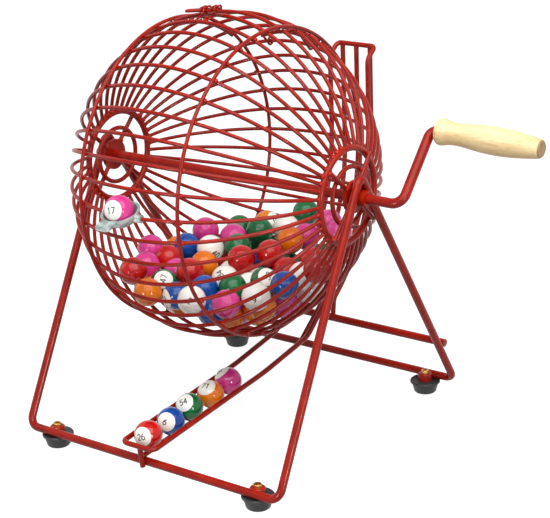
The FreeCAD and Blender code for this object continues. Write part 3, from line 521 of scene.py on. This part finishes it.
# Balls of the top layer whose patch shows: colour, place from the middle of the axle in
# millimetres (X, Y), spot of the patch for facing(), roll and number
SHOWN = [
    ("white", 10, 63, 0.32, 0.08, 0.4, 24), ("white", -24, 4, 0.43, -0.41, -0.8, 40),
    ("white", 58, -46, -0.12, -0.18, 0.2, 9), ("green", 49, -24, 0.28, 0.41, 0.9, 58),
    ("orange", -10, 62, 0.69, 0.31, -0.4, 63), ("green", -23, -58, 0.02, 0.35, 1.3, 47),
    ("white", 17, -30, -0.36, 0.38, 2.2, 34), ("white", 18, -74, -0.10, -0.04, -0.5, 2),
    ("blue", -6, -72, -0.88, -0.24, 0.0, 13), ("white", 43, -33, -0.19, 0.61, 0.7, 51),
]
TOP_LEVEL = -70.0               # top layer: height from the axle in millimetres, and its slope
TOP_SLOPE = 0.15
NEAR_IN_DEPTH = 0.022           # a ball is the stated one within these distances, in metres,
NEAR_ASIDE = 0.009              # along and beside the line of sight
OUT_OF_REACH = 1.0
TURNED_AWAY = -0.3              # a loose ball's patch looks at least this far away, and else
FAR_SIDE = 0.75                 # is turned on by this much


def shown_balls(tint, places):
    """Index in places -> (axis, roll, number) for the balls of one colour that show a
    patch: the one nearest to the line of sight through its stated place."""
    back = viewing_frame()[2]
    found = {}
    for colour, x, y, across, rise, roll, number in SHOWN:
        if colour != tint:
            continue
        stated = AXLE + np.array([x, y, TOP_LEVEL + TOP_SLOPE * y]) * MM
        apart = np.array(places) - stated
        depth = apart @ back
        beside = np.linalg.norm(apart - depth[:, None] * back, axis=1)
        best = int(np.argmin(np.where(np.abs(depth) < NEAR_IN_DEPTH, beside, OUT_OF_REACH)))
        if beside[best] < NEAR_ASIDE:
            found[best] = (facing(across, rise), roll, number)
    return found


def scattered_axis(index):
    """Patch direction of a loose ball: steps of the golden angle over a sphere, turned to
    the far side of the heap."""
    height = 1 - 2 * ((index * 0.618034) % 1.0)
    turn = index * 2.399963
    flat = math.sqrt(max(0.0, 1 - height * height))
    axis = np.array([flat * math.cos(turn), flat * math.sin(turn), height])
    back = viewing_frame()[2]
    toward = axis @ back
    if toward > TURNED_AWAY:
        axis = axis - (toward + FAR_SIDE) * back
    return axis / np.linalg.norm(axis)


def heap_of_balls():
    """The balls left in the cage, in the colours of their nodes."""
    count = 0
    for tint in BALL_TINTS:
        node = "pile_balls_" + tint
        if node not in nodes:
            continue
        places = centres_of(node)
        order = np.arange(len(places)) + count
        axes = [scattered_axis(i) for i in order]
        rolls = [(i * 1.7) % 6.28 for i in order]
        numbers = [1 + (int(i) * 29) % 90 for i in order]
        for i, (axis, roll, number) in shown_balls(tint, places).items():
            axes[i], rolls[i], numbers[i] = axis, roll, number
        balls_piece("heap_" + tint, tint, places, axes, rolls, numbers, "stand", [node])
        count += len(places)


RUNWAY = {          # colour: (spot of the patch for facing(), roll of the number, number)
    "red": (-0.44, -0.09, 0.3, 26),
    "blue": (-0.36, 0.01, -0.5, 6),
    "green": (-0.40, 0.44, 0.6, 54),
    "orange": (-0.36, 0.66, 0.2, 71),
    "pink": (-0.61, 0.76, 0.0, 38),
}


def drawn_balls():
    """The balls on the runway, one body each, and the one in the catcher."""
    for tint, (across, rise, roll, number) in RUNWAY.items():
        node = "runway_ball_" + tint
        balls_piece("drawn_" + tint, tint, [middle_of(node)], [facing(across, rise)],
                    [roll], [number], "ball_" + tint, [node])
    balls_piece("caught_pink", "pink", [middle_of("ball_in_catcher")],
                [facing(-0.47, -0.05)], [0.2], [17], "drum", ["ball_in_catcher"])


# --------------------------------------------------------------------------------------
# Weld beads
# --------------------------------------------------------------------------------------
CROWN_MM = 126.0                # wire of the cage: distance from the axle at mid length
BELLY_MM = 109.8                # its bend about mid length, and the bend towards the ends
SHOULDER_MM = 125.6
SHOULDER_AT_MM = 65.3


def wire_radius(station):
    """Distance of a cage wire's middle line from the axle, in millimetres: a circle about
    the belly's centre, and past the shoulder a wider circle that touches it."""
    station = abs(station)
    belly = CROWN_MM - BELLY_MM
    if station <= SHOULDER_AT_MM:
        return belly + math.sqrt(BELLY_MM ** 2 - station ** 2)
    rise = math.sqrt(BELLY_MM ** 2 - SHOULDER_AT_MM ** 2)
    along = SHOULDER_AT_MM * (1 - SHOULDER_MM / BELLY_MM)
    up = belly + rise * (1 - SHOULDER_MM / BELLY_MM)
    return up + math.sqrt(SHOULDER_MM ** 2 - (station - along) ** 2)


def round_axle(station, radius, angle):
    """Point at a station and a distance from the axle, angle in degrees up from the front."""
    a = math.radians(angle)
    return [station, -radius * math.cos(a), radius * math.sin(a)]


BEAD_RINGS = 8
BEAD_AROUND = 12
BEAD_POLE = 1.55                # last ring of a bead, in radians
BEAD_WOBBLE = 0.16              # share by which beads differ in size


def weld_beads(name, places, sizes, body):
    """Flattened drops of metal: ellipsoids size x (cos u cos v, 0.85 cos u sin v, 0.7 sin u)
    turned to stand away from the axle, each a little larger or smaller than the last."""
    places = np.array(places, float)
    sizes = np.array(sizes, float)
    count = len(places)
    rings, around = BEAD_RINGS, BEAD_AROUND
    u = np.linspace(-BEAD_POLE, BEAD_POLE, rings)[:, None]
    v = np.linspace(0, 2 * math.pi, around, endpoint=False)[None, :]
    drop = np.stack([np.cos(u) * np.cos(v), 0.85 * np.cos(u) * np.sin(v),
                     0.7 * np.sin(u) + 0 * v], -1).reshape(-1, 3)
    out = places * (0.0, 1.0, 1.0)
    out = out / np.linalg.norm(out, axis=1, keepdims=True)
    along = np.tile((1.0, 0.0, 0.0), (count, 1))
    aside = np.cross(out, along)
    wobble = 1 + BEAD_WOBBLE * np.sin(np.arange(count) * 2.4)
    frames = np.stack([along, aside, out], 1) * (sizes * wobble)[:, None, None]
    points = np.einsum("pk,nkc->npc", drop, frames) + places[:, None, :]
    faces = (grid_faces(rings, around)[None] +
             (np.arange(count) * rings * around)[:, None, None]).reshape(-1, 4)
    # red_weld is the enamel made lighter, a painted highlight on the beads
    return make_piece(name, AXLE + points.reshape(-1, 3) * MM, faces,
                      [FINISHES["red_weld"]], None, body)


# Angles up from the front, in degrees: the cage's wires (one turn is left out for the
# catcher, whose own wire follows with the two at the hinge), the door's wires and its bars
CAGE_ANGLES = [80.2 - 8.715 * i for i in range(34) if i != 9] + [0.95, 136.1, 144.8]
DOOR_ANGLES = [98.0, 107.0, 116.0]
DOOR_BARS = [89.0, 125.0]
SPOKE_ANGLES = [42.0 + 90.0 * quarter for quarter in range(4)]
# Beads in millimetres: station along the axle, distance from it, size
AT_BAND = (46.6, 117.0, 2.2)
AT_END_RING = (111.3, 38.6, 2.3)
ALONG_SPOKE = ((114.9, 36.3, 2.9), (115.4, 22.3, 2.4), (117.0, 12.9, 2.4))
DOOR_END = 41.5
DOOR_BEAD = 2.3
DOOR_BEAD_SINK = 1.6


def weld_the_cage():
    """Beads where the wires cross the rings, the spokes, the hubs and the door's bars."""
    beads = []
    for side in (-1, 1):
        crossings = [(angle, spot) for angle in CAGE_ANGLES for spot in (AT_BAND, AT_END_RING)]
        crossings += [(angle, spot) for angle in SPOKE_ANGLES for spot in ALONG_SPOKE]
        for angle, (station, radius, size) in crossings:
            beads.append((round_axle(side * station, radius, angle), size))
    places, sizes = zip(*beads)
    weld_beads("cage_welds", places, sizes, "drum")
    places = [round_axle(side * DOOR_END, wire_radius(DOOR_END) - DOOR_BEAD_SINK, angle)
              for side in (-1, 1) for angle in DOOR_ANGLES + DOOR_BARS]
    weld_beads("door_welds", places, [DOOR_BEAD] * len(places), "door")


# --------------------------------------------------------------------------------------
# Floor, light and camera
# --------------------------------------------------------------------------------------
PAPER = (0.32, 0.32, 0.32, 1.0)
FLOOR_GLOW = 0.88
FLOOR_REACH = 9.0               # half side of the floor, and how far it lies below the feet,
FLOOR_DROP = 0.0002             # in metres
ROOM_LIGHT = 0.25

# Lamps: place from the middle of the axle, width, height, watts
OVERHEAD = ((0.70, -0.62, 1.35), 2.2, 1.7, 54.0)
SIDE_FILL = ((-1.6, -0.5, 0.7), 0.8, 1.2, 5.0)
STRIP_TURNS = {"strip_left": -34.0, "strip_right": 30.0}    # degrees beside the lens
STRIP_RISE = 0.04
STRIP_DISTANCE = 1.9
STRIP_WIDTH, STRIP_HEIGHT, STRIP_WATTS = 0.16, 0.40, 14.0


def seen_directly(tree):
    """1 for rays from the lens and for mirror and glass rays, 0 for the rest."""
    path = tree.nodes.new("ShaderNodeLightPath")
    result = path.outputs["Is Camera Ray"]
    for name in ("Is Glossy Ray", "Is Transmission Ray"):
        either = tree.nodes.new("ShaderNodeMath")
        either.operation = "MAXIMUM"
        tree.links.new(result, either.inputs[0])
        tree.links.new(path.outputs[name], either.inputs[1])
        result = either.outputs[0]
    return result


def paper_floor():
    """White paper floor: it glows a little to the lens, so that it reads as white far out
    too, and takes the light of the room, so that the object's shadow falls on it."""
    material = bpy.data.materials.new("paper_floor")
    material.use_nodes = True
    tree = material.node_tree
    shader = tree.nodes["Principled BSDF"]
    shader.inputs["Base Color"].default_value = PAPER
    shader.inputs["Roughness"].default_value = 0.9
    shader.inputs["Specular IOR Level"].default_value = 0.0
    shader.inputs["Emission Color"].default_value = (1, 1, 1, 1)
    glow = tree.nodes.new("ShaderNodeMath")
    glow.operation = "MULTIPLY"
    glow.inputs[1].default_value = FLOOR_GLOW
    tree.links.new(seen_directly(tree), glow.inputs[0])
    tree.links.new(glow.outputs[0], shader.inputs["Emission Strength"])
    mesh = bpy.data.meshes.new("floor")
    corners = [(x * FLOOR_REACH, y * FLOOR_REACH, -FLOOR_DROP)
               for x, y in ((-1, -1), (1, -1), (1, 1), (-1, 1))]
    mesh.from_pydata(corners, [], [(0, 1, 2, 3)])
    mesh.materials.append(material)
    floor = bpy.data.objects.new("floor", mesh)
    bpy.context.scene.collection.objects.link(floor)


def white_room(strength):
    """World: white to the lens and in reflections, softer as a light."""
    world = bpy.data.worlds.new("white_room")
    bpy.context.scene.world = world
    world.use_nodes = True
    tree = world.node_tree
    background = tree.nodes["Background"]
    seen = tree.nodes.new("ShaderNodeMix")
    seen.data_type = "FLOAT"
    seen.inputs["A"].default_value = strength
    seen.inputs["B"].default_value = 1.0
    tree.links.new(seen_directly(tree), seen.inputs["Factor"])
    tree.links.new(seen.outputs["Result"], background.inputs["Strength"])
    background.inputs["Color"].default_value = (1, 1, 1, 1)


def soft_box(name, place, target, width, height, watts):
    """Rectangular lamp at a place, aimed at a target."""
    lamp = bpy.data.lights.new(name, "AREA")
    lamp.shape = "RECTANGLE"
    lamp.size = width
    lamp.size_y = height
    lamp.energy = watts
    holder = bpy.data.objects.new(name, lamp)
    holder.location = place
    way = np.array(target) - np.array(place)
    holder.rotation_euler = Vector(way).to_track_quat("-Z", "Y").to_euler()
    bpy.context.scene.collection.objects.link(holder)
    return holder


# The lens and its distance
DISTANCE = 1.3024
LENS_MM = 109.45
SENSOR_MM = 36.0
AIM = AXLE + np.array([0.04268, 0.0, -0.06267])


def camera():
    """Camera on the line of sight through the aim point, rolled about that line."""
    right, up, back = (Vector(way.tolist()) for way in viewing_frame())
    data = bpy.data.cameras.new("camera")
    data.lens = LENS_MM
    data.sensor_width = SENSOR_MM
    data.sensor_fit = "HORIZONTAL"
    data.clip_start = 0.05
    data.clip_end = 50.0
    lens = bpy.data.objects.new("camera", data)
    place = Vector(AIM.tolist()) + back * DISTANCE
    turn = Matrix((right, up, back)).transposed().to_4x4()
    lens.matrix_world = Matrix.Translation(place) @ turn
    bpy.context.scene.collection.objects.link(lens)
    bpy.context.scene.camera = lens


def light_the_object():
    """A broad overhead soft box that leans over the front, a weak side fill, and two
    upright strips, a little lower than the lens, for the small highlights."""
    for name, (place, width, height, watts) in (("overhead", OVERHEAD), ("side", SIDE_FILL)):
        soft_box(name, AXLE + np.array(place), AXLE, width, height, watts)
    for name, turn in STRIP_TURNS.items():
        a = AZIMUTH + math.radians(turn)
        way = np.array([math.sin(a), -math.cos(a), STRIP_RISE])
        strip = soft_box(name, AXLE + STRIP_DISTANCE * way, AXLE, STRIP_WIDTH, STRIP_HEIGHT,
                         STRIP_WATTS)
        strip.visible_diffuse = False         # mirrored in the gloss only
    white_room(ROOM_LIGHT)


# --------------------------------------------------------------------------------------
# Put it all together
# --------------------------------------------------------------------------------------
bpy.context.scene.view_settings.view_transform = "Standard"
dress_cad_nodes()
heap_of_balls()
drawn_balls()
weld_the_cage()
paper_floor()
light_the_object()
camera()
